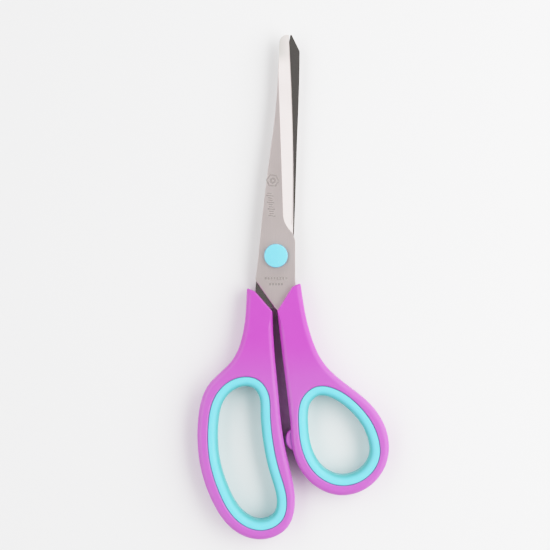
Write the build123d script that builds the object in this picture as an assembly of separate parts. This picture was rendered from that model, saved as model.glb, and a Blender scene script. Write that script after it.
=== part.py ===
from build123d import *
import math
import os

# Soft-grip scissors, lying flat and almost closed. All lengths are in millimetres, angles in degrees.
# Working frame: the pivot axis is x = y = 0, the tips point to +Y and the blades meet at z = 0.
# The thumb half (upper blade, right-hand loop) turns about the pivot on the finger half
# (lower blade, left-hand loop). The last step moves the whole object so that its origin is at the
# middle of its footprint, on the plane it rests on.

# Blades
BLADE_THICKNESS = 1.8
BLADE_GAP = 0.3
BEVEL_HEEL_WIDTH = 3.9
BEVEL_TIP_WIDTH = 5.0
BEVEL_ANGLE = 14.7
EDGE_LAND_ANGLE = 49.0
EDGE_LAND_DEPTH = 1.0
EDGE_LAND_REACH = 12.0
EDGE_THICKNESS = 0.15
RUN_OUT_START = 8.0
RUN_OUT_RADIUS = 35.0
EDGE_LAND_SINK = 0.5
TIP_FACET_START = 71.5
TIP_FACET_DROP = 0.02
TIP_TOP_Y = 88.0
SPINE_CHAMFER = 0.2
SHORTEST_CHAMFER = 3.0
TANG_TOP_Y = -22.0
TANG_HOLE_RADIUS = 1.6
THUMB_TANG_HOLES = [(6.6, -31.0), (8.0, -41.0)]
FINGER_TANG_HOLES = [(-7.2, -31.0), (-7.3, -41.0)]

# Handles and their soft liners
HANDLE_HALF_THICKNESS = 5.3
NECK_HALF_THICKNESS = 4.3
NECK_TOP_Y = -8.0
NECK_THIN_Y = -3.0
NECK_THICK_Y = -46.0
HANDLE_FILLET = 2.2
HANDLE_LONG_EDGE = 20.0
HANDLE_END_FILLET = 0.5
END_FACE_Y = -22.0
HANDLE_SEAM_FILLET = 0.8
LINER_WIDTH = 4.1
LINER_HALF_THICKNESS = 5.2
LINER_INNER_FILLET = 2.8
LINER_SEAM_FILLET = 0.45
LINER_GAP = 0.04
TONGUE_DEPTH = 1.2
TONGUE_HALF_HEIGHT = 1.0
STOP_BUMP_CENTRE = (9.05, -78.2)
STOP_BUMP_RADIUS = 5.0
STOP_BUMP_HALF_HEIGHT = 3.2
STOP_BUMP_FILLET = 1.2

# Pivot
SHANK_RADIUS = 2.0
SHANK_FLAT_HALF_WIDTH = 1.6
TURNING_CLEARANCE = 0.05
SEAT_GAP = 0.02
RIVET_HEAD_RADIUS = 4.0
RIVET_HEAD_THICKNESS = 0.9
RIVET_HEAD_FILLET = 0.25
RIVET_TAIL_RADIUS = 3.2
RIVET_TAIL_HEIGHT = 1.1
SPRING_OUTER_RADIUS = 3.6
SPRING_THICKNESS = 0.3
SPRING_RISE = 0.2
SPRING_BORE_PLAY = 0.15
BLADE_WASHER_RADIUS = 4.5
BACKING_RADIUS = 4.4
BACKING_THICKNESS = 0.6
BACKING_FILLET = 0.2
CAP_RADIUS = 5.0
CAP_ROOF = 0.75
CAP_CROWN = 0.4
CAP_LIP_RADIUS = 3.8
CAP_EDGE_FILLET = 0.5
CAP_LIFT = 0.1

INNER_FACE = BLADE_GAP / 2
OUTER_FACE = INNER_FACE + BLADE_THICKNESS
FAR = 60.0
LOOP_STATIONS = 60

# Heights of the pivot stack, from the upper blade's outer face up
SPRING_LOW = OUTER_FACE + SEAT_GAP
HEAD_LOW = SPRING_LOW + SPRING_THICKNESS + SPRING_RISE + SEAT_GAP
HEAD_HIGH = HEAD_LOW + RIVET_HEAD_THICKNESS
BACKING_HIGH = -OUTER_FACE - SEAT_GAP
BACKING_LOW = BACKING_HIGH - BACKING_THICKNESS


def slab(face, low, high):
    """The flat face at z = 0 made into a solid from z = low to z = high."""
    return extrude(Pos(0, 0, low) * face, amount=high - low)


def disc(radius, low, high):
    return slab(Circle(radius).face(), low, high)


def loop_face(knots, grow=0.0):
    """The face inside a smooth closed curve through the knots, which run anticlockwise.

    With grow, the curve runs that far outside the knots (inside them when grow is negative).
    """
    curve = Spline(*knots, periodic=True)
    if grow:
        stations = [i / LOOP_STATIONS for i in range(LOOP_STATIONS)]
        up = Vector(0, 0, 1)
        curve = Spline(*[curve @ t + (curve % t).cross(up) * grow for t in stations], periodic=True)
    return make_face(curve)


# ---------------------------------------------------------------- blades

def thumb_blade_outline():
    """The cutting edge and the plan outline of the upper blade, whose tang runs into the right handle."""
    edge = ThreePointArc((7.25, 9.5), (7.2, 52.0), (5.5, 94.3))
    tip = Spline((5.5, 94.3), (2.8, 93.6), (1.35, 88.6), tangents=[(-1, 0.3), (-0.04, -1)])
    spine = Spline(
        (1.35, 88.6), (0.95, 78.0), (-0.2, 62.0), (-2.9, 41.0), (-4.9, 25.0),
        (-6.3, 12.5), (-7.0, 5.0), (-8.8, -10.3),
    )
    tang = Polyline(
        (-8.8, -10.3), (3.1, -27.3), (5.6, -48.0), (11.0, -48.0), (8.9, -25.0),
        (8.2, -10.0), (8.25, 6.5), (7.25, 9.5),
    )
    return edge, make_face(Curve() + [edge, tip, spine, tang])


def finger_blade_outline():
    """The cutting edge and the plan outline of the lower blade, whose tang runs into the left handle."""
    edge = ThreePointArc((-5.0, 11.0), (-0.3, 52.0), (6.1, 94.3))
    tip = Polyline((6.1, 94.3), (6.7, 94.5), (10.15, 87.4))
    spine = Spline((10.15, 87.4), (9.9, 72.0), (9.0, 48.0), (8.15, 20.0), (7.6, 5.0), (7.5, -10.2))
    tang = Polyline(
        (7.5, -10.2), (-4.4, -25.0), (-4.6, -48.0), (-10.0, -48.0), (-9.3, -25.0),
        (-8.5, -10.5), (-6.8, 7.0), (-5.0, 11.0),
    )
    return edge, make_face(Curve() + [edge, tip, spine, tang])


def ground_face(edge, side, start, drop=0.0):
    """The plane of the flat face that is ground on a blade's outer side along its cutting edge.

    side is +1 for an edge on the right of its blade and -1 for an edge on the left. The face begins on
    a straight line near the spine and falls towards the edge. The plane's origin is on that line, at a
    distance start from the heel, its x runs towards the tip and its z points out of the blade. With a
    drop, it falls towards the tip as well.
    """
    heel = edge @ 0 + Vector(-side * BEVEL_HEEL_WIDTH, 0, OUTER_FACE)
    tip = edge @ 1 + Vector(-side * BEVEL_TIP_WIDTH, 0, OUTER_FACE)
    along = (tip - heel).normalized()
    across = Vector(side * along.Y, -side * along.X, -math.tan(math.radians(BEVEL_ANGLE)))
    falling = along - Vector(0, 0, drop)
    return Plane(origin=heel + along * start, x_dir=falling, z_dir=across.cross(falling) * side)


def space_ahead():
    """All that lies above a ground face, from its plane's origin towards the tip."""
    return Pos(2 * FAR, 0, 2 * FAR) * Box(4 * FAR, 4 * FAR, 4 * FAR)


def wheel_sweep():
    """The space ahead together with the round run-out that the grinding wheel leaves at the heel."""
    return space_ahead() + Pos(0, 0, RUN_OUT_RADIUS) * Rot(90, 0, 0) * Cylinder(RUN_OUT_RADIUS, 4 * FAR)


def edge_land_ring(edge, side):
    """A ring round the centre of the cutting edge's long arc, cut by the narrow second bevel."""
    centre = edge.arc_center
    radius = edge.radius
    low = INNER_FACE + EDGE_THICKNESS
    high = low + EDGE_LAND_DEPTH
    inner_end = EDGE_LAND_DEPTH / math.tan(math.radians(EDGE_LAND_ANGLE))
    profile = Polyline(
        (radius, low), (radius + EDGE_LAND_DEPTH, low), (radius + EDGE_LAND_DEPTH, high),
        (radius - inner_end, high), close=True,
    )
    start = -EDGE_LAND_REACH if side > 0 else 180 - EDGE_LAND_REACH
    section = Rot(0, 0, start) * make_face(Plane.XZ * profile)
    return Pos(centre.X, centre.Y, 0) * revolve(section, Axis.Z, revolution_arc=2 * EDGE_LAND_REACH)


def ground_blade(outline_parts, side):
    """A stamped blade with its bevel, edge land and tip facet, outer face up."""
    edge, outline = outline_parts
    blade = slab(outline, INNER_FACE, OUTER_FACE)
    stamped_edges = [
        e for e in blade.edges().group_by(Axis.Z)[-1]
        if e.geom_type != GeomType.CIRCLE and e.length > SHORTEST_CHAMFER
        and TANG_TOP_Y < e.center().Y < TIP_TOP_Y
    ]
    blade = chamfer(stamped_edges, SPINE_CHAMFER)
    sweep = ground_face(edge, side, RUN_OUT_START) * wheel_sweep()
    blade -= sweep
    blade -= edge_land_ring(edge, side) & (Pos(0, 0, -EDGE_LAND_SINK) * sweep)
    return blade - ground_face(edge, side, TIP_FACET_START, TIP_FACET_DROP) * space_ahead()


def tang_holes(places):
    return [Pos(x, y, 0) * Cylinder(TANG_HOLE_RADIUS, 4 * BLADE_THICKNESS) for x, y in places]


def thumb_blade():
    blade = ground_blade(thumb_blade_outline(), 1)
    blade -= Cylinder(SHANK_RADIUS + TURNING_CLEARANCE, 4 * BLADE_THICKNESS)
    for hole in tang_holes(THUMB_TANG_HOLES):
        blade -= hole
    return blade


def finger_blade():
    blade = ground_blade(finger_blade_outline(), -1)
    blade -= keyed_shank(-FAR, FAR, SEAT_GAP)
    for hole in tang_holes(FINGER_TANG_HOLES):
        blade -= hole
    return mirror(blade, about=Plane.XY)


# ---------------------------------------------------------------- pivot

def keyed_shank(low, high, play=0.0):
    """The stretch of the shank with two flats, which stops the rivet turning in the lower blade."""
    flats = Rectangle(2 * (SHANK_FLAT_HALF_WIDTH + play), 4 * SHANK_RADIUS)
    return slab((Circle(SHANK_RADIUS + play) & flats).face(), low, high)


def pivot_rivet():
    head = disc(RIVET_HEAD_RADIUS, HEAD_LOW, HEAD_HIGH)
    head = fillet(head.edges().group_by(Axis.Z)[-1], RIVET_HEAD_FILLET)
    upper_shank = disc(SHANK_RADIUS, -INNER_FACE, HEAD_LOW)
    lower_shank = keyed_shank(BACKING_LOW, -INNER_FACE)
    dome_radius = (RIVET_TAIL_RADIUS ** 2 + RIVET_TAIL_HEIGHT ** 2) / (2 * RIVET_TAIL_HEIGHT)
    dome = Pos(0, 0, BACKING_LOW - RIVET_TAIL_HEIGHT + dome_radius) * Sphere(dome_radius)
    tail = dome & disc(2 * RIVET_TAIL_RADIUS, BACKING_LOW - 2 * RIVET_TAIL_HEIGHT, BACKING_LOW)
    return head + upper_shank + lower_shank + tail


def spring_washer():
    """A conical spring washer: it is low at its rim and high round the shank."""
    inner = SHANK_RADIUS + SPRING_BORE_PLAY
    profile = Polyline(
        (inner, SPRING_LOW + SPRING_RISE), (SPRING_OUTER_RADIUS, SPRING_LOW),
        (SPRING_OUTER_RADIUS, SPRING_LOW + SPRING_THICKNESS),
        (inner, SPRING_LOW + SPRING_RISE + SPRING_THICKNESS),
        close=True,
    )
    return revolve(make_face(Plane.XZ * profile), Axis.Z)


def blade_washer():
    half = INNER_FACE - SEAT_GAP
    return disc(BLADE_WASHER_RADIUS, -half, half) - disc(SHANK_RADIUS + TURNING_CLEARANCE, -FAR, FAR)


def backing_washer():
    ring = disc(BACKING_RADIUS, BACKING_LOW, BACKING_HIGH)
    ring = fillet(ring.edges().group_by(Axis.Z)[0], BACKING_FILLET)
    return ring - keyed_shank(-FAR, FAR, SEAT_GAP)


def pivot_cap():
    """A domed plastic cap that snaps over the rivet head."""
    low = OUTER_FACE + CAP_LIFT
    wall_high = HEAD_HIGH + CAP_ROOF - CAP_CROWN
    crown_radius = (CAP_RADIUS ** 2 + CAP_CROWN ** 2) / (2 * CAP_CROWN)
    body = disc(CAP_RADIUS, low, wall_high + CAP_CROWN)
    body = body & (Pos(0, 0, wall_high + CAP_CROWN - crown_radius) * Sphere(crown_radius))
    rim = [e for e in body.edges() if abs(e.center().Z - wall_high) < 0.05]
    body = fillet(rim, CAP_EDGE_FILLET)
    body -= disc(RIVET_HEAD_RADIUS + SEAT_GAP, HEAD_LOW - SEAT_GAP, HEAD_HIGH + SEAT_GAP)
    return body - disc(CAP_LIP_RADIUS, 0, HEAD_LOW)


# ---------------------------------------------------------------- handles

FINGER_OUTLINE = Curve() + [
    Polyline((-12.0, NECK_TOP_Y), (2.0, NECK_TOP_Y), (-1.5, -23.0)),
    Spline(
        (-1.5, -23.0), (-0.9, -38.0), (1.0, -59.0), (3.0, -77.0), (6.2, -92.0), (8.1, -104.5),
        (4.9, -115.5), (-5.5, -120.6), (-17.5, -117.0), (-26.6, -105.5), (-32.4, -88.5),
        (-33.2, -70.0), (-29.0, -55.4), (-18.6, -44.5), (-14.4, -34.5), (-12.7, -21.0), (-12.0, NECK_TOP_Y),
    ),
]
FINGER_END = [(3.0, -28.9), (-1.4, -23.9), (-9.1, -15.2), (-11.4, -14.1), (-14.0, -13.4)]
FINGER_SEAM = [
    (-4.2, -56.5), (-10.4, -51.7), (-18.8, -52.9), (-25.6, -59.4), (-28.8, -73.0), (-28.1, -87.0),
    (-23.8, -101.0), (-16.8, -112.0), (-6.4, -116.5), (2.5, -112.3), (4.5, -104.5), (1.4, -91.5),
    (-1.4, -78.5), (-2.5, -66.0),
]

THUMB_OUTLINE = Curve() + [
    Polyline((10.0, NECK_TOP_Y), (-4.0, NECK_TOP_Y), (0.6, -23.0)),
    Spline(
        (0.6, -23.0), (2.2, -37.5), (4.4, -55.5), (6.1, -71.0), (8.0, -85.5), (16.0, -97.4),
        (27.5, -101.9), (39.0, -98.6), (46.9, -88.5), (47.4, -75.5), (40.5, -63.5), (30.0, -54.8),
        (20.6, -46.0), (15.4, -35.5), (12.4, -24.0), (10.0, NECK_TOP_Y),
    ),
]
THUMB_END = [(-3.0, -29.2), (0.6, -23.4), (6.95, -13.2), (9.7, -12.0), (12.0, -11.0)]
THUMB_SEAM = [
    (44.1, -81.5), (41.0, -71.5), (34.3, -62.9), (26.0, -57.0), (17.0, -55.7), (11.2, -60.6),
    (9.6, -70.5), (11.4, -83.0), (17.0, -92.6), (26.5, -97.4), (36.5, -95.4), (42.4, -89.5),
]


def side_view():
    """The side view that both handles share: full thickness at the loops, thinner towards the blades."""
    neck = (NECK_THIN_Y, NECK_HALF_THICKNESS)
    full = (NECK_THICK_Y, HANDLE_HALF_THICKNESS)
    far_end = (-3 * FAR, HANDLE_HALF_THICKNESS)
    top = Spline(neck, full, tangents=[(-1, 0), (-1, 0)])
    upper_half = make_face(Curve() + [top, Polyline(full, far_end, (far_end[0], 0), (neck[0], 0), neck)])
    return upper_half + mirror(upper_half, about=Plane.XZ)


def handle_body(outline, end_line, side):
    """A handle blank: plan outline, side view and rounded long edges, cut off where the blade leaves it.

    end_line runs along the cut from the gap between the handles outwards; side is +1 for the right
    handle and -1 for the left one.
    """
    blank = slab(make_face(outline), -FAR, FAR)
    body = blank & extrude(Plane.YZ * side_view(), amount=FAR, both=True)
    long_edges = [
        e for e in body.edges()
        if e.length > HANDLE_LONG_EDGE and abs(e.center().Z) > NECK_HALF_THICKNESS / 2
    ]
    body = fillet(long_edges, HANDLE_FILLET)
    waste = Polyline(*end_line, (side * FAR, end_line[-1][1]), (side * FAR, FAR), (-side * FAR, FAR),
                     (-side * FAR, end_line[0][1]), close=True)
    body -= slab(make_face(waste), -FAR, FAR)
    end_face_edges = [
        e for f in body.faces().filter_by(GeomType.PLANE)
        if abs(f.normal_at().Z) < 0.01 and f.center().Y > END_FACE_Y
        for e in f.edges()
    ]
    return fillet(end_face_edges, HANDLE_END_FILLET)


def hole_edges(solid, height):
    """The edges round the hole in each of the two flat faces at z = +height and z = -height."""
    faces = [f for f in solid.faces().filter_by(Axis.Z) if abs(abs(f.center().Z) - height) < 0.01]
    return [e for f in faces for e in f.wires().sort_by(SortBy.LENGTH)[0].edges()]


def rim_edges(solid, height):
    """The edges round the outside of each of the two flat faces at z = +height and z = -height."""
    faces = [f for f in solid.faces().filter_by(Axis.Z) if abs(abs(f.center().Z) - height) < 0.01]
    return [e for f in faces for e in f.wires().sort_by(SortBy.LENGTH)[-1].edges()]


def cut_loop(body, seam):
    """Cuts the loop opening into a handle, with the groove that its liner's tongue sits in."""
    body -= slab(loop_face(seam), -FAR, FAR)
    body = fillet(hole_edges(body, HANDLE_HALF_THICKNESS), HANDLE_SEAM_FILLET)
    height = TONGUE_HALF_HEIGHT + LINER_GAP
    return body - slab(loop_face(seam, TONGUE_DEPTH + LINER_GAP), -height, height)


def liner(seam):
    """A soft ring that lines a loop, rounded towards the fingers and held by its tongue."""
    opening = slab(loop_face(seam, -LINER_WIDTH), -FAR, FAR)
    ring = slab(loop_face(seam, -LINER_GAP), -LINER_HALF_THICKNESS, LINER_HALF_THICKNESS) - opening
    ring = fillet(hole_edges(ring, LINER_HALF_THICKNESS), LINER_INNER_FILLET)
    ring = fillet(rim_edges(ring, LINER_HALF_THICKNESS), LINER_SEAM_FILLET)
    core = slab(loop_face(seam, -LINER_WIDTH / 2), -FAR, FAR)
    tongue = slab(loop_face(seam, TONGUE_DEPTH), -TONGUE_HALF_HEIGHT, TONGUE_HALF_HEIGHT) - core
    return ring + tongue


def stop_bump():
    """The small boss on the thumb handle that meets the finger handle when the scissors close."""
    x, y = STOP_BUMP_CENTRE
    boss = Pos(x, y, 0) * Cylinder(STOP_BUMP_RADIUS, 2 * STOP_BUMP_HALF_HEIGHT)
    return fillet(boss.edges().filter_by(GeomType.CIRCLE), STOP_BUMP_FILLET)


def finger_handle():
    body = handle_body(FINGER_OUTLINE, FINGER_END, -1)
    return cut_loop(body, FINGER_SEAM) - finger_blade()


def thumb_handle():
    body = handle_body(THUMB_OUTLINE, THUMB_END, 1)
    return cut_loop(body + stop_bump(), THUMB_SEAM) - thumb_blade()


def thumb_grip_liner():
    return liner(THUMB_SEAM)


def finger_grip_liner():
    return liner(FINGER_SEAM)


PIECES = [
    thumb_blade, finger_blade, thumb_handle, finger_handle, thumb_grip_liner, finger_grip_liner,
    pivot_rivet, pivot_cap, spring_washer, blade_washer, backing_washer,
]


def write_parts():
    pieces = {make.__name__: make() for make in PIECES}
    box = Compound([solid for piece in pieces.values() for solid in piece.solids()]).bounding_box()
    to_origin = Pos(-box.center().X, -box.center().Y, -box.min.Z)
    os.makedirs("parts", exist_ok=True)
    for name, piece in pieces.items():
        export_step(to_origin * piece, f"parts/{name}.step")


write_parts()
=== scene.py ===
import math
import bmesh
import bpy
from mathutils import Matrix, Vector


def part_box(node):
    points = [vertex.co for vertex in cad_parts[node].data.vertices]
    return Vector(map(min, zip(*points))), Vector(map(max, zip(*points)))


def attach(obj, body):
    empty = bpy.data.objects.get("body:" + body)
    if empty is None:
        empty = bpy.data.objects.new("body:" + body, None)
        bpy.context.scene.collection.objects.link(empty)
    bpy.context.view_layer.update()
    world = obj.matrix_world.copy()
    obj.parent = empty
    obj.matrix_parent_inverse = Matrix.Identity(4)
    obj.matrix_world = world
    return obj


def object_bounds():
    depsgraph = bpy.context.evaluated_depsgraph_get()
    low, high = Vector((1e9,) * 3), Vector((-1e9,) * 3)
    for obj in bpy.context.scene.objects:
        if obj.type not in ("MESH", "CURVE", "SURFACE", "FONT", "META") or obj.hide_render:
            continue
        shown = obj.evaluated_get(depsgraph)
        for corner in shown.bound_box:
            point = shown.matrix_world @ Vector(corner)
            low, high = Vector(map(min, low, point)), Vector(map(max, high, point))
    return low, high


# Soft-grip scissors seen from straight above, almost closed, on a pale floor. Lengths are in metres.
# Colours and tones of light are linear. Heights in the sky are the z of a direction of length 1.

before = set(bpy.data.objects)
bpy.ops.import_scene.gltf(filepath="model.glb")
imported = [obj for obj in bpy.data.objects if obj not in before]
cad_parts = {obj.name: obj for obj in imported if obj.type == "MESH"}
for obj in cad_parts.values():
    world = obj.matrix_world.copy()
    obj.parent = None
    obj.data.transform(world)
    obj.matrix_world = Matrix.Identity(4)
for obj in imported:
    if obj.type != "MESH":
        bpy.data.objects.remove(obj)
CAD_BOX = [list(corner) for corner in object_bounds()]
MM = 0.001

# ------------------------------------------------------------------ places, all from the frame

CAP_LOW, CAP_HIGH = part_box("pivot_cap")
PIVOT = (CAP_LOW + CAP_HIGH) / 2
UPPER_LOW, UPPER_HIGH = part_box("thumb_blade")
LOWER_LOW, LOWER_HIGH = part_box("finger_blade")
BLADE_MIDDLE_Z = (UPPER_LOW.z + LOWER_HIGH.z) / 2
OBJECT_LENGTH = CAD_BOX[1][1] - CAD_BOX[0][1]
LINER_TOP_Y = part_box("thumb_grip_liner")[1].y
# The handles' painted sheen starts at the first of these places along the object and is full at the second
SHEEN_START_Y = LINER_TOP_Y + 20 * MM
SHEEN_FULL_Y = LINER_TOP_Y - 5 * MM
# Painted shade near the blade tips: where it starts, how far it fades in, and the x at the spine and edge
# between which it weakens
TIP_SHADE_Y = UPPER_HIGH.y - 13.5 * MM
TIP_SHADE_FADE = 6 * MM
TIP_SPINE_X = PIVOT.x + 1 * MM
TIP_EDGE_X = PIVOT.x + 5 * MM

# ------------------------------------------------------------------ camera

VIEW_WIDTH = 1.0923 * OBJECT_LENGTH
CAMERA_HEIGHT = 0.65
VIEW_CENTRE = PIVOT + Vector((-0.4 * MM, -8.2 * MM, 0))
SENSOR_WIDTH_MM = 36.0
NEAREST_SEEN = 0.01

# ------------------------------------------------------------------ floor and lights

FLOOR_HALF = 3.0

# The key lamp, in metres and watts
KEY_PLACE = (0.42, 0.05, 0.24)
KEY_AIM = (0.14, 0.0, 0.0)
KEY_SIDE = 0.6
KEY_WATTS = 2.1

# The cloth of the tent, from its foot to the height where it is brightest
TENT_FOOT = 0.95
TENT_TONE = 2.30
TENT_FULL_Z = 0.75
TENT_BACK_GAIN = 0.20
BACKDROP_TONE = 1.25

# The share of the cloth's tone that reflections see, and the heights between which it rises to 1
MIRROR_FOOT = 0.12
MIRROR_LOW_Z = 0.30
MIRROR_FULL_Z = 0.72

# The dark patch, an ellipse on the directions' x and y, that fades from PATCH_INNER to PATCH_OUTER
PATCH_TONE = 0.054
PATCH_CENTRE_Y = -0.10
PATCH_HALF_WIDTH = 0.40
PATCH_HALF_LENGTH = 1.10
PATCH_INNER = 0.70
PATCH_OUTER = 1.35

# ------------------------------------------------------------------ print tones

# The print's tone for light x is (1 - e^(-PRINT_SPEED x))^PRINT_TOE, up to PRINT_RANGE
PRINT_RANGE = 3.0
PRINT_STEPS = 14
PRINT_SPEED = 2.41
PRINT_TOE = 1.3
ALL_COLOURS_CURVE = 3

# ------------------------------------------------------------------ surfaces

PURPLE = (0.475, 0.073, 0.447)
PURPLE_DEEP = (0.445, 0.064, 0.427)
# Painted sheen: a paler purple mixed into the handles towards the finger loops, and its share there
PURPLE_PAINTED_SHEEN = (0.445, 0.145, 0.50)
LOOP_SHEEN_SHARE = 0.5
# Painted shade: a violet tint for narrow gaps, its share, and how far ambient occlusion looks for a gap
SEAM_SHADE_VIOLET = (0.20, 0.15, 0.42)
SEAM_SHADE_SHARE = 0.9
SEAM_SHADE_REACH = 1.5 * MM
TEAL = (0.175, 0.65, 0.85)
TEAL_DEEP = (0.155, 0.61, 0.79)
# Painted shade for the liners' steep sides
TEAL_SLOPE_SHADE = (0.10, 0.425, 0.455)
CAP_TEAL = (0.19, 0.64, 0.92)
# Painted shade for the cap's steep rim
CAP_EDGE_SHADE = (0.10, 0.36, 0.50)
WASHER_WHITE = (0.75, 0.75, 0.73)
WASHER_SHADE = (0.7, 0.7, 0.68)
STEEL = (0.80, 0.705, 0.69)
STEEL_INNER = (0.78, 0.735, 0.70)
# Painted shade near the blade tips, standing in for the darker reflection of the tip's facet
STEEL_TIP_SHADE = (0.49, 0.475, 0.45)
ETCHED = (0.27, 0.24, 0.23)
FLOOR = (0.86, 0.86, 0.865)
HANDLE_ROUGHNESS = 0.36
CAP_ROUGHNESS = 0.22
WASHER_ROUGHNESS = 0.5
RIVET_ROUGHNESS = 0.22
SPRING_ROUGHNESS = 0.3
FINE_RELIEF = 0.02 * MM
PEEL_RELIEF = 0.1 * MM
ETCHED_RELIEF = 0.01 * MM
PAPER_RELIEF = 0.05 * MM
NOISE_LOW, NOISE_HIGH = 0.3, 0.7
GRIND_LOW, GRIND_HIGH = 0.25, 0.75


class Nodes:
    """A short way to write a node tree that ends in one shader."""

    def __init__(self, tree, output, surface):
        self.tree = tree
        self.tree.nodes.clear()
        self.surface = self.add(surface)
        self.link(self.surface.outputs[0], self.add(output).inputs[0])

    def add(self, kind, **settings):
        node = self.tree.nodes.new(kind)
        for key, value in settings.items():
            setattr(node, key, value)
        return node

    def link(self, source, target):
        self.tree.links.new(source, target)

    def feed(self, socket, value):
        """Gives a socket either a link, a colour or a number."""
        if hasattr(value, "node"):
            self.link(value, socket)
        elif isinstance(value, tuple) and len(value) == 3 and len(socket.default_value) == 4:
            socket.default_value = (*value, 1)
        else:
            socket.default_value = value

    def set(self, **values):
        """Sets inputs of the surface shader by name, with _ for a space."""
        for key, value in values.items():
            self.feed(self.surface.inputs[key.replace("_", " ")], value)

    def place(self):
        """Position in the piece's own rest frame, in metres."""
        return self.add("ShaderNodeTexCoord").outputs["Object"]

    def facing(self):
        """The surface normal in the piece's own rest frame."""
        return self.add("ShaderNodeTexCoord").outputs["Normal"]

    def vector(self, operation, a, b=None):
        node = self.add("ShaderNodeVectorMath", operation=operation)
        self.feed(node.inputs[0], a)
        if b is not None:
            self.feed(node.inputs[1], b)
        return node.outputs["Value" if operation == "LENGTH" else "Vector"]

    def noise(self, vector, scale, detail=3.0, roughness=0.55):
        node = self.add("ShaderNodeTexNoise")
        self.link(vector, node.inputs["Vector"])
        node.inputs["Scale"].default_value = scale
        node.inputs["Detail"].default_value = detail
        node.inputs["Roughness"].default_value = roughness
        return node.outputs["Fac"]

    def openness(self, reach):
        """1 in the open and less in a narrow gap."""
        node = self.add("ShaderNodeAmbientOcclusion", samples=8)
        node.inputs["Distance"].default_value = reach
        return node.outputs["AO"]

    def math(self, operation, a, b=None):
        node = self.add("ShaderNodeMath", operation=operation)
        self.feed(node.inputs[0], a)
        if b is not None:
            self.feed(node.inputs[1], b)
        return node.outputs[0]

    def remap(self, value, low, high, to_low, to_high, smooth=False):
        node = self.add("ShaderNodeMapRange", interpolation_type="SMOOTHSTEP" if smooth else "LINEAR")
        self.link(value, node.inputs["Value"])
        for name, number in zip(("From Min", "From Max", "To Min", "To Max"), (low, high, to_low, to_high)):
            self.feed(node.inputs[name], number)
        return node.outputs["Result"]

    def spread(self, noise, to_low, to_high):
        """Maps the usual range of a noise onto two values."""
        return self.remap(noise, NOISE_LOW, NOISE_HIGH, to_low, to_high)

    def mix(self, factor, a, b):
        """Blends two colours by a factor."""
        node = self.add("ShaderNodeMix", data_type="RGBA")
        self.feed(node.inputs["Factor"], factor)
        self.feed(node.inputs[6], a)
        self.feed(node.inputs[7], b)
        return node.outputs[2]

    def blend(self, factor, a, b):
        """Blends two numbers by a factor."""
        node = self.add("ShaderNodeMix", data_type="FLOAT")
        self.feed(node.inputs["Factor"], factor)
        self.feed(node.inputs[2], a)
        self.feed(node.inputs[3], b)
        return node.outputs[0]

    def axis(self, vector, index):
        node = self.add("ShaderNodeSeparateXYZ")
        self.link(vector, node.inputs[0])
        return node.outputs[index]

    def bump(self, height, strength, distance, normal=None):
        node = self.add("ShaderNodeBump")
        node.inputs["Strength"].default_value = strength
        node.inputs["Distance"].default_value = distance
        self.link(height, node.inputs["Height"])
        if normal is not None:
            self.link(normal, node.inputs["Normal"])
        return node.outputs[0]


class Sky(Nodes):
    def __init__(self, tree):
        super().__init__(tree, "ShaderNodeOutputWorld", "ShaderNodeBackground")


class Material(Nodes):
    def __init__(self, name):
        self.material = bpy.data.materials.new(name)
        self.material.use_nodes = True
        super().__init__(self.material.node_tree, "ShaderNodeOutputMaterial", "ShaderNodeBsdfPrincipled")


def shade(colour, factor):
    return tuple(factor * c for c in colour)


# ------------------------------------------------------------------ materials

def hard_plastic(name, colour, deep, roughness, painted_sheen=None, seam_shade=None, edge_shade=None):
    """Moulded semi-gloss plastic: faint flow marks in the colour and a fine orange-peel surface.

    It may be painted paler towards the finger loops as a painted sheen, and take painted shade: a violet
    tint in narrow gaps, and another tint on steep edges.
    """
    n = Material(name)
    flow = n.noise(n.place(), scale=90.0, detail=3.0)
    peel = n.noise(n.place(), scale=900.0, detail=2.0)
    grain = n.noise(n.place(), scale=6000.0, detail=2.0)
    tone = n.mix(flow, colour, deep)
    # Painted sheen: paler towards the finger loops, standing in for the light their outer bands catch
    if painted_sheen:
        along = n.axis(n.place(), 1)
        loop_sheen = n.remap(along, SHEEN_FULL_Y, SHEEN_START_Y, LOOP_SHEEN_SHARE, 0.0, smooth=True)
        tone = n.mix(loop_sheen, tone, painted_sheen)
    # Painted shade: upward faces are tinted violet where ambient occlusion finds a narrow gap, as at the
    # liner seams
    if seam_shade:
        gap = n.remap(n.openness(SEAM_SHADE_REACH), 0.50, 0.92, SEAM_SHADE_SHARE, 0.0)
        upper = n.remap(n.axis(n.facing(), 2), 0.0, 0.3, 0.0, 1.0)
        tone = n.mix(n.math("MULTIPLY", gap, upper), tone, seam_shade)
    # Painted shade: steep faces, such as the cap's rounded rim, are painted another tint
    if edge_shade:
        steep = n.remap(n.axis(n.facing(), 2), 0.45, 0.92, 1.0, 0.0, smooth=True)
        tone = n.mix(steep, tone, edge_shade)
    n.set(Base_Color=tone, Roughness=n.spread(peel, roughness - 0.04, roughness + 0.06))
    n.set(IOR=1.5, Subsurface_Weight=0.12, Subsurface_Radius=(1.0, 0.6, 1.0), Subsurface_Scale=1.2 * MM)
    n.set(Normal=n.bump(grain, 0.12, FINE_RELIEF, n.bump(peel, 0.10, PEEL_RELIEF)))
    return n.material


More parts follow.
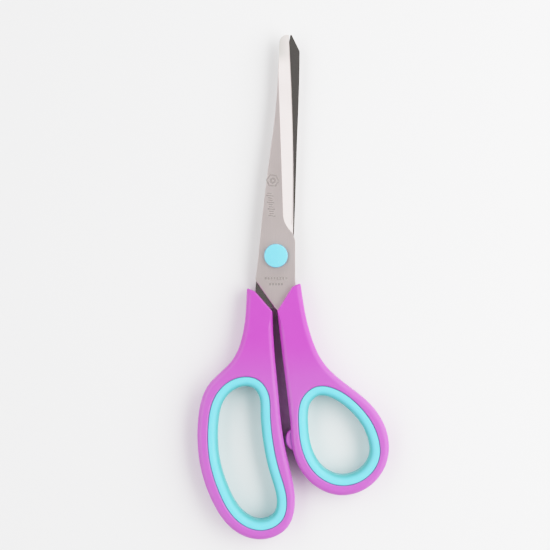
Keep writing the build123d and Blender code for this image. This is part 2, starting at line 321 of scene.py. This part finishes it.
def soft_rubber(name, colour, deep, slope_shade):
    """Thermoplastic rubber: satin, slightly grainy, with faint clouds in its colour.

    The steep sides are painted a deeper tone than the top, as painted shade.
    """
    n = Material(name)
    cloud = n.noise(n.place(), scale=150.0, detail=4.0)
    grain = n.noise(n.place(), scale=9000.0, detail=3.0, roughness=0.7)
    upright = n.math("ABSOLUTE", n.axis(n.facing(), 2))
    # Painted shade: steep sides take the deeper slope tone
    tone = n.mix(n.remap(upright, 0.60, 0.98, 1.0, 0.0), n.mix(cloud, colour, deep), slope_shade)
    n.set(Base_Color=tone, Roughness=n.spread(cloud, 0.42, 0.52))
    n.set(IOR=1.48, Subsurface_Weight=0.2, Subsurface_Radius=(0.6, 1.0, 1.1), Subsurface_Scale=1.5 * MM)
    n.set(Sheen_Weight=0.08, Sheen_Roughness=0.4)
    n.set(Normal=n.bump(grain, 0.2, FINE_RELIEF))
    return n.material


def ground_steel(name, outer_sign):
    """Blade steel: satin outer face, cross-ground bevel and polished inner face.

    outer_sign is +1 when the outer face looks up and -1 when it looks down.
    """
    n = Material(name)
    place = n.place()
    outward = n.math("MULTIPLY", n.axis(n.facing(), 2), float(outer_sign))
    flat = n.remap(outward, 0.985, 0.998, 0.0, 1.0, smooth=True)
    inner = n.remap(outward, -0.99, -0.5, 1.0, 0.0)
    along_blade = n.vector("MULTIPLY", place, (9000.0, 120.0, 9000.0))
    across_blade = n.vector("MULTIPLY", place, (300.0, 11000.0, 300.0))
    lengthwise = n.noise(along_blade, scale=1.0, detail=4.0, roughness=0.6)
    crosswise = n.noise(across_blade, scale=1.0, detail=4.0, roughness=0.6)
    lines = n.blend(flat, crosswise, lengthwise)
    smudge = n.noise(place, scale=60.0, detail=3.0)
    satin = n.remap(lines, GRIND_LOW, GRIND_HIGH, 0.43, 0.49)
    ground = n.remap(lines, GRIND_LOW, GRIND_HIGH, 0.30, 0.38)
    outer_rough = n.math("ADD", n.blend(flat, ground, satin), n.spread(smudge, -0.02, 0.03))
    n.set(Roughness=n.blend(inner, outer_rough, n.remap(lines, GRIND_LOW, GRIND_HIGH, 0.13, 0.18)))
    tone = n.mix(inner, STEEL, STEEL_INNER)
    # Painted shade: the outer face near the tip and spine is painted greyer, for the darker reflection of
    # the tip's facet
    towards_tip = n.remap(n.axis(place, 1), TIP_SHADE_Y, TIP_SHADE_Y + TIP_SHADE_FADE, 0.0, 1.0, smooth=True)
    towards_spine = n.remap(n.axis(place, 0), TIP_SPINE_X, TIP_EDGE_X, 1.0, 0.45)
    on_outside = n.math("SUBTRACT", 1.0, inner)
    tip_shade = n.math("MULTIPLY", n.math("MULTIPLY", towards_tip, towards_spine), on_outside)
    tone = n.mix(tip_shade, tone, STEEL_TIP_SHADE)
    streaks = n.spread(lines, 0.0, 0.14)
    n.set(Base_Color=n.mix(streaks, tone, shade(STEEL, 0.5)), Metallic=1.0)
    n.set(Normal=n.bump(lines, 0.10, FINE_RELIEF))
    return n.material


def turned_steel(name, roughness):
    """Rivet and washer steel with fine turning rings about the pivot."""
    n = Material(name)
    from_pivot = n.vector("SUBTRACT", n.place(), (PIVOT.x, PIVOT.y, 0))
    radius = n.vector("LENGTH", n.vector("MULTIPLY", from_pivot, (1.0, 1.0, 0.0)))
    rings = n.add("ShaderNodeTexNoise", noise_dimensions="1D")
    n.link(radius, rings.inputs["W"])
    rings.inputs["Scale"].default_value = 12000.0
    turned = rings.outputs["Fac"]
    marks = n.noise(n.place(), scale=1500.0, detail=3.0)
    n.set(Base_Color=n.mix(marks, STEEL, shade(STEEL, 0.85)), Metallic=1.0)
    n.set(Roughness=n.spread(turned, roughness, roughness + 0.12))
    n.set(Normal=n.bump(turned, 0.15, FINE_RELIEF))
    return n.material


def etched_steel():
    """Steel darkened and roughened by etching."""
    n = Material("etched_steel")
    speckle = n.noise(n.place(), scale=9000.0, detail=3.0)
    n.set(Base_Color=n.mix(speckle, ETCHED, shade(ETCHED, 0.8)), Specular_IOR_Level=0.3)
    n.set(Roughness=n.spread(speckle, 0.5, 0.65), Normal=n.bump(speckle, 0.2, ETCHED_RELIEF))
    return n.material


def floor_paper():
    """Matt white paper with faint fibres."""
    n = Material("floor_paper")
    fibre = n.noise(n.place(), scale=700.0, detail=5.0, roughness=0.6)
    n.set(Base_Color=n.mix(fibre, FLOOR, shade(FLOOR, 0.985)), Roughness=0.75)
    n.set(Specular_IOR_Level=0.2, Normal=n.bump(fibre, 0.05, PAPER_RELIEF))
    return n.material


def coat(obj, material):
    """Gives a CAD node or a piece its one material."""
    obj.data.materials.clear()
    obj.data.materials.append(material)


def new_piece(name, bm, material, body):
    """Turns a bmesh into a piece that rides on a body."""
    bmesh.ops.recalc_face_normals(bm, faces=bm.faces)
    mesh = bpy.data.meshes.new(name)
    bm.to_mesh(mesh)
    bm.free()
    obj = bpy.data.objects.new(name, mesh)
    bpy.context.scene.collection.objects.link(obj)
    coat(obj, material)
    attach(obj, body)


# ------------------------------------------------------------------ etched marks on the upper blade

# Places of the marks are in metres from the pivot
MARK_RELIEF = 0.012 * MM
MARK_SINK = 0.01 * MM
MARK_LEAN = math.radians(-6)
HEXAGON_PLACE = (-1.4 * MM, 32.0 * MM)
# (outer radius, inner radius) of each ring, and the gap between its plates in radians
HEXAGON_OUTER_RING = (2.9 * MM, 2.2 * MM)
HEXAGON_INNER_RING = (1.4 * MM, 0.6 * MM)
HEXAGON_GAP = 0.02
TICK_COUNT = 11
TICK_STEP = 0.95 * MM
TICK_HEIGHT = 0.42 * MM
TICK_LONG, TICK_SHORT = 3.0 * MM, 1.9 * MM
TICK_LONG_EVERY = 3
TICK_START = (-1.7 * MM, 17.0 * MM)
DOT_STEP = 1.25 * MM
DOT_SIZE = (0.85 * MM, 0.95 * MM)
# (number of dots, place of the row's middle among them, y)
DOT_ROWS = [(8, 3.5, -9.6 * MM), (5, 2.0, -12.1 * MM)]


def flat_piece(name, outlines, material):
    """Thin closed plates lying on the upper blade's outer face, in one piece.

    Each outline is a list of (x, y) points in metres from the pivot.
    """
    low = UPPER_HIGH.z - MARK_SINK
    high = UPPER_HIGH.z + MARK_RELIEF
    bm = bmesh.new()
    for outline in outlines:
        rings = []
        for z in (low, high):
            rings.append([bm.verts.new((PIVOT.x + x, PIVOT.y + y, z)) for x, y in outline])
        bm.faces.new(list(reversed(rings[0])))
        bm.faces.new(rings[1])
        for i in range(len(outline)):
            j = (i + 1) % len(outline)
            bm.faces.new((rings[0][i], rings[0][j], rings[1][j], rings[1][i]))
    new_piece(name, bm, material, "thumb_half")


def bar(x, y, width, height, lean=0.0):
    """A small rectangle centred on (x, y), turned by lean radians."""
    half_width, half_height = width / 2, height / 2
    corners = [(-half_width, -half_height), (half_width, -half_height)]
    corners += [(half_width, half_height), (-half_width, half_height)]
    c, s = math.cos(lean), math.sin(lean)
    return [(x + c * u - s * v, y + s * u + c * v) for u, v in corners]


def hexagon_band(ring, lean):
    """A hexagonal ring as six plates, each a quadrilateral between two corners, with fine gaps."""
    x, y = HEXAGON_PLACE
    outer, inner = ring
    plates = []
    for i in range(6):
        a = lean + math.tau * i / 6 + HEXAGON_GAP
        b = lean + math.tau * (i + 1) / 6 - HEXAGON_GAP
        corners = ((inner, a), (outer, a), (outer, b), (inner, b))
        plates.append([(x + r * math.cos(t), y + r * math.sin(t)) for r, t in corners])
    return plates


def etched_marks():
    """Plain marks with no meaning: a hexagon, a strip of ticks beside the spine, and two dotted lines."""
    steel = etched_steel()
    hexagon = hexagon_band(HEXAGON_OUTER_RING, MARK_LEAN)
    hexagon += hexagon_band(HEXAGON_INNER_RING, MARK_LEAN + math.radians(30))
    flat_piece("etched_hexagon", hexagon, steel)
    ticks = []
    for i in range(TICK_COUNT):
        along = i * TICK_STEP
        x = TICK_START[0] + along * math.sin(MARK_LEAN)
        width = TICK_LONG if i % TICK_LONG_EVERY == 0 else TICK_SHORT
        ticks.append(bar(x, TICK_START[1] + along, width, TICK_HEIGHT, MARK_LEAN))
    flat_piece("etched_ticks", ticks, steel)
    dots = []
    for count, middle, y in DOT_ROWS:
        dots += [bar((i - middle) * DOT_STEP, y, *DOT_SIZE) for i in range(count)]
    flat_piece("etched_dots", dots, steel)


# ------------------------------------------------------------------ moulding marks on the handles

SEAM_STEP = 0.7 * MM
SEAM_WIDTH = 0.36 * MM
SEAM_PROUD = 0.05 * MM
SEAM_SUNK = 0.10 * MM
STOP_PLACE = PIVOT + Vector((3.5 * MM, -75.0 * MM, 0))
STOP_REACH = 9.0 * MM
# (radius, height above the outline) of the gate mark's rings, in millimetres
GATE_RINGS = [(0.80, -0.10), (0.80, 0.05), (0.66, 0.10), (0.30, 0.10), (0.22, 0.15)]
GATE_SIDES = 24


def cut_outline(node, z):
    """The longest closed outline where a level plane cuts a CAD node, as points in order."""
    bm = bmesh.new()
    bm.from_mesh(node.data)
    bmesh.ops.remove_doubles(bm, verts=bm.verts, dist=0.001 * MM)
    everything = bm.verts[:] + bm.edges[:] + bm.faces[:]
    cut = bmesh.ops.bisect_plane(bm, geom=everything, plane_co=(0, 0, z), plane_no=(0, 0, 1))
    edges = [e for e in cut["geom_cut"] if isinstance(e, bmesh.types.BMEdge)]
    unused = set(edges)
    outlines = []
    for first in edges:
        if first not in unused:
            continue
        unused.discard(first)
        start, vert = first.verts
        points = [start.co.xy.copy()]
        while vert is not start:
            points.append(vert.co.xy.copy())
            onward = [e for e in vert.link_edges if e in unused]
            if not onward:
                break
            unused.discard(onward[0])
            vert = onward[0].other_vert(vert)
        outlines.append(points)
    bm.free()
    return max(outlines, key=outline_length)


def outline_length(points):
    """The length of a closed outline."""
    return sum((b - a).length for a, b in zip(points, points[1:] + points[:1]))


def even_points(points, step):
    """Points spaced evenly along a closed outline."""
    closed = points + points[:1]
    lengths = [(b - a).length for a, b in zip(closed, closed[1:])]
    count = round(sum(lengths) / step)
    spaced = []
    i, walked = 0, 0.0
    for k in range(count):
        target = sum(lengths) * k / count
        while walked + lengths[i] < target:
            walked += lengths[i]
            i += 1
        spaced.append(closed[i].lerp(closed[i + 1], (target - walked) / lengths[i]))
    return spaced


def outward(points, i):
    """The direction in the plane that leads away from an anticlockwise outline at its point i."""
    along = (points[(i + 1) % len(points)] - points[i - 1]).normalized()
    return Vector((along.y, -along.x))


def skin(bm, rings, closed):
    """Joins rings of vertices with quads, the last to the first if closed."""
    for k in range(len(rings) if closed else len(rings) - 1):
        a, b = rings[k], rings[(k + 1) % len(rings)]
        for i in range(len(a)):
            j = (i + 1) % len(a)
            bm.faces.new((a[i], a[j], b[j], b[i]))


def seam_ridge(bm, points, z):
    """The fine ridge that the two halves of a mould leave round a handle, hidden at the closing stop."""
    rings = []
    for i, point in enumerate(points):
        away = outward(points, i)
        at_stop = (point - STOP_PLACE.xy).length < STOP_REACH
        top = -SEAM_PROUD if at_stop else SEAM_PROUD
        profile = [(-SEAM_SUNK, -0.5), (top, -0.25), (top, 0.25), (-SEAM_SUNK, 0.5)]
        ring = []
        for rise, side in profile:
            place = point + rise * away
            ring.append(bm.verts.new((place.x, place.y, z + side * SEAM_WIDTH)))
        rings.append(ring)
    skin(bm, rings, True)


def gate_mark(bm, points, z):
    """The trimmed stub where plastic was fed in, at the end of the loop."""
    i = min(range(len(points)), key=lambda k: points[k].y)
    away = outward(points, i)
    across = Vector((-away.y, away.x))
    rings = []
    for radius, height in GATE_RINGS:
        ring = []
        for k in range(GATE_SIDES):
            turn = math.tau * k / GATE_SIDES
            place = points[i] + height * MM * away + radius * MM * math.cos(turn) * across
            ring.append(bm.verts.new((place.x, place.y, z + radius * MM * math.sin(turn))))
        rings.append(ring)
    skin(bm, rings, False)
    bm.faces.new(rings[0])
    bm.faces.new(rings[-1])


def moulding_marks(node, body, material):
    """The parting ridge and gate mark of one handle, as one piece half way up its side."""
    low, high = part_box(node)
    z = (low.z + high.z) / 2
    points = even_points(cut_outline(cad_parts[node], z), SEAM_STEP)
    twice_area = sum(a.cross(b) for a, b in zip(points, points[1:] + points[:1]))
    if twice_area < 0:
        points.reverse()
    bm = bmesh.new()
    seam_ridge(bm, points, z)
    gate_mark(bm, points, z)
    new_piece(node + "_mould_marks", bm, material, body)


# ------------------------------------------------------------------ stage

def floor():
    """A level square of paper under the scissors."""
    mesh = bpy.data.meshes.new("floor")
    corners = [(FLOOR_HALF * x, FLOOR_HALF * y, 0) for x, y in ((-1, -1), (1, -1), (1, 1), (-1, 1))]
    mesh.from_pydata(corners, [], [(0, 1, 2, 3)])
    obj = bpy.data.objects.new("floor", mesh)
    bpy.context.scene.collection.objects.link(obj)
    coat(obj, floor_paper())


def key_lamp():
    """A square lamp low on the right that lights surfaces but isn't seen in reflections."""
    light = bpy.data.lights.new("key", "AREA")
    light.shape = "SQUARE"
    light.size = KEY_SIDE
    light.energy = KEY_WATTS
    obj = bpy.data.objects.new("key", light)
    obj.location = KEY_PLACE
    obj.rotation_euler = (Vector(KEY_AIM) - Vector(KEY_PLACE)).to_track_quat("-Z", "Y").to_euler()
    obj.visible_glossy = False
    bpy.context.scene.collection.objects.link(obj)


def light_tent():
    """White cloth all round, dimmer at its foot and a little brighter at the back.

    A dark patch hangs overhead, a long soft-edged ellipse in the plan view of the sky. Reflections see
    the lower cloth darker than it is, and the camera sees an even backdrop instead of the cloth.
    """
    world = bpy.data.worlds.new("light_tent")
    bpy.context.scene.world = world
    world.use_nodes = True
    n = Sky(world.node_tree)
    direction = n.add("ShaderNodeTexCoord").outputs["Generated"]
    across = n.math("DIVIDE", n.axis(direction, 0), PATCH_HALF_WIDTH)
    along = n.math("DIVIDE", n.math("SUBTRACT", n.axis(direction, 1), PATCH_CENTRE_Y), PATCH_HALF_LENGTH)
    reach = n.math("SQRT", n.math("ADD", n.math("POWER", across, 2.0), n.math("POWER", along, 2.0)))
    cloth = n.remap(reach, PATCH_INNER, PATCH_OUTER, PATCH_TONE, 1.0, smooth=True)
    front = n.math("ADD", n.math("MULTIPLY", n.axis(direction, 1), TENT_BACK_GAIN), 1.0)
    rise = n.remap(n.axis(direction, 2), 0.0, TENT_FULL_Z, TENT_FOOT, TENT_TONE, smooth=True)
    tent = n.math("MULTIPLY", n.math("MULTIPLY", rise, front), cloth)
    paths = n.add("ShaderNodeLightPath").outputs
    mirror = n.remap(n.axis(direction, 2), MIRROR_LOW_Z, MIRROR_FULL_Z, MIRROR_FOOT, 1.0, smooth=True)
    lit = n.math("MULTIPLY", tent, n.blend(paths["Is Glossy Ray"], 1.0, mirror))
    n.feed(n.surface.inputs["Strength"], n.blend(paths["Is Camera Ray"], lit, BACKDROP_TONE))


def camera():
    """Looks straight down, so that VIEW_WIDTH fills the picture at the height of the blades."""
    data = bpy.data.cameras.new("camera")
    data.sensor_width = SENSOR_WIDTH_MM
    data.lens = data.sensor_width * CAMERA_HEIGHT / VIEW_WIDTH
    data.clip_start = NEAREST_SEEN
    obj = bpy.data.objects.new("camera", data)
    obj.location = (VIEW_CENTRE.x, VIEW_CENTRE.y, BLADE_MIDDLE_Z + CAMERA_HEIGHT)
    bpy.context.scene.collection.objects.link(obj)
    bpy.context.scene.camera = obj


def print_tones():
    """Presses bright tones together, and keeps the lightest tone in range at white."""
    settings = bpy.context.scene.view_settings
    settings.view_transform = "Standard"
    settings.use_curve_mapping = True
    mapping = settings.curve_mapping
    mapping.clip_max_x = PRINT_RANGE
    curve = mapping.curves[ALL_COLOURS_CURVE]
    curve.points[-1].location = (PRINT_RANGE, 1.0)
    for i in range(1, PRINT_STEPS):
        light = PRINT_RANGE * (i / PRINT_STEPS) ** 2
        curve.points.new(light, (1.0 - math.exp(-PRINT_SPEED * light)) ** PRINT_TOE)
    mapping.update()


# ------------------------------------------------------------------ the build

def dress_cad_nodes():
    """Gives each CAD node its material, and each handle its moulding marks."""
    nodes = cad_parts
    purple = hard_plastic(
        "handle_purple", PURPLE, PURPLE_DEEP, HANDLE_ROUGHNESS, painted_sheen=PURPLE_PAINTED_SHEEN, seam_shade=SEAM_SHADE_VIOLET
    )
    teal = soft_rubber("liner_teal", TEAL, TEAL_DEEP, TEAL_SLOPE_SHADE)
    rivet = turned_steel("rivet_steel", RIVET_ROUGHNESS)
    cap = hard_plastic("cap_teal", CAP_TEAL, shade(CAP_TEAL, 0.95), CAP_ROUGHNESS, edge_shade=CAP_EDGE_SHADE)
    washer = hard_plastic("washer_plastic", WASHER_WHITE, WASHER_SHADE, WASHER_ROUGHNESS)
    coat(nodes["thumb_handle"], purple)
    coat(nodes["finger_handle"], purple)
    moulding_marks("thumb_handle", "thumb_half", purple)
    moulding_marks("finger_handle", "finger_half", purple)
    coat(nodes["thumb_grip_liner"], teal)
    coat(nodes["finger_grip_liner"], teal)
    coat(nodes["thumb_blade"], ground_steel("upper_blade_steel", 1))
    coat(nodes["finger_blade"], ground_steel("lower_blade_steel", -1))
    coat(nodes["pivot_cap"], cap)
    coat(nodes["pivot_rivet"], rivet)
    coat(nodes["backing_washer"], rivet)
    coat(nodes["spring_washer"], turned_steel("spring_steel", SPRING_ROUGHNESS))
    coat(nodes["blade_washer"], washer)


dress_cad_nodes()
etched_marks()
floor()
light_tent()
key_lamp()
camera()
print_tones()
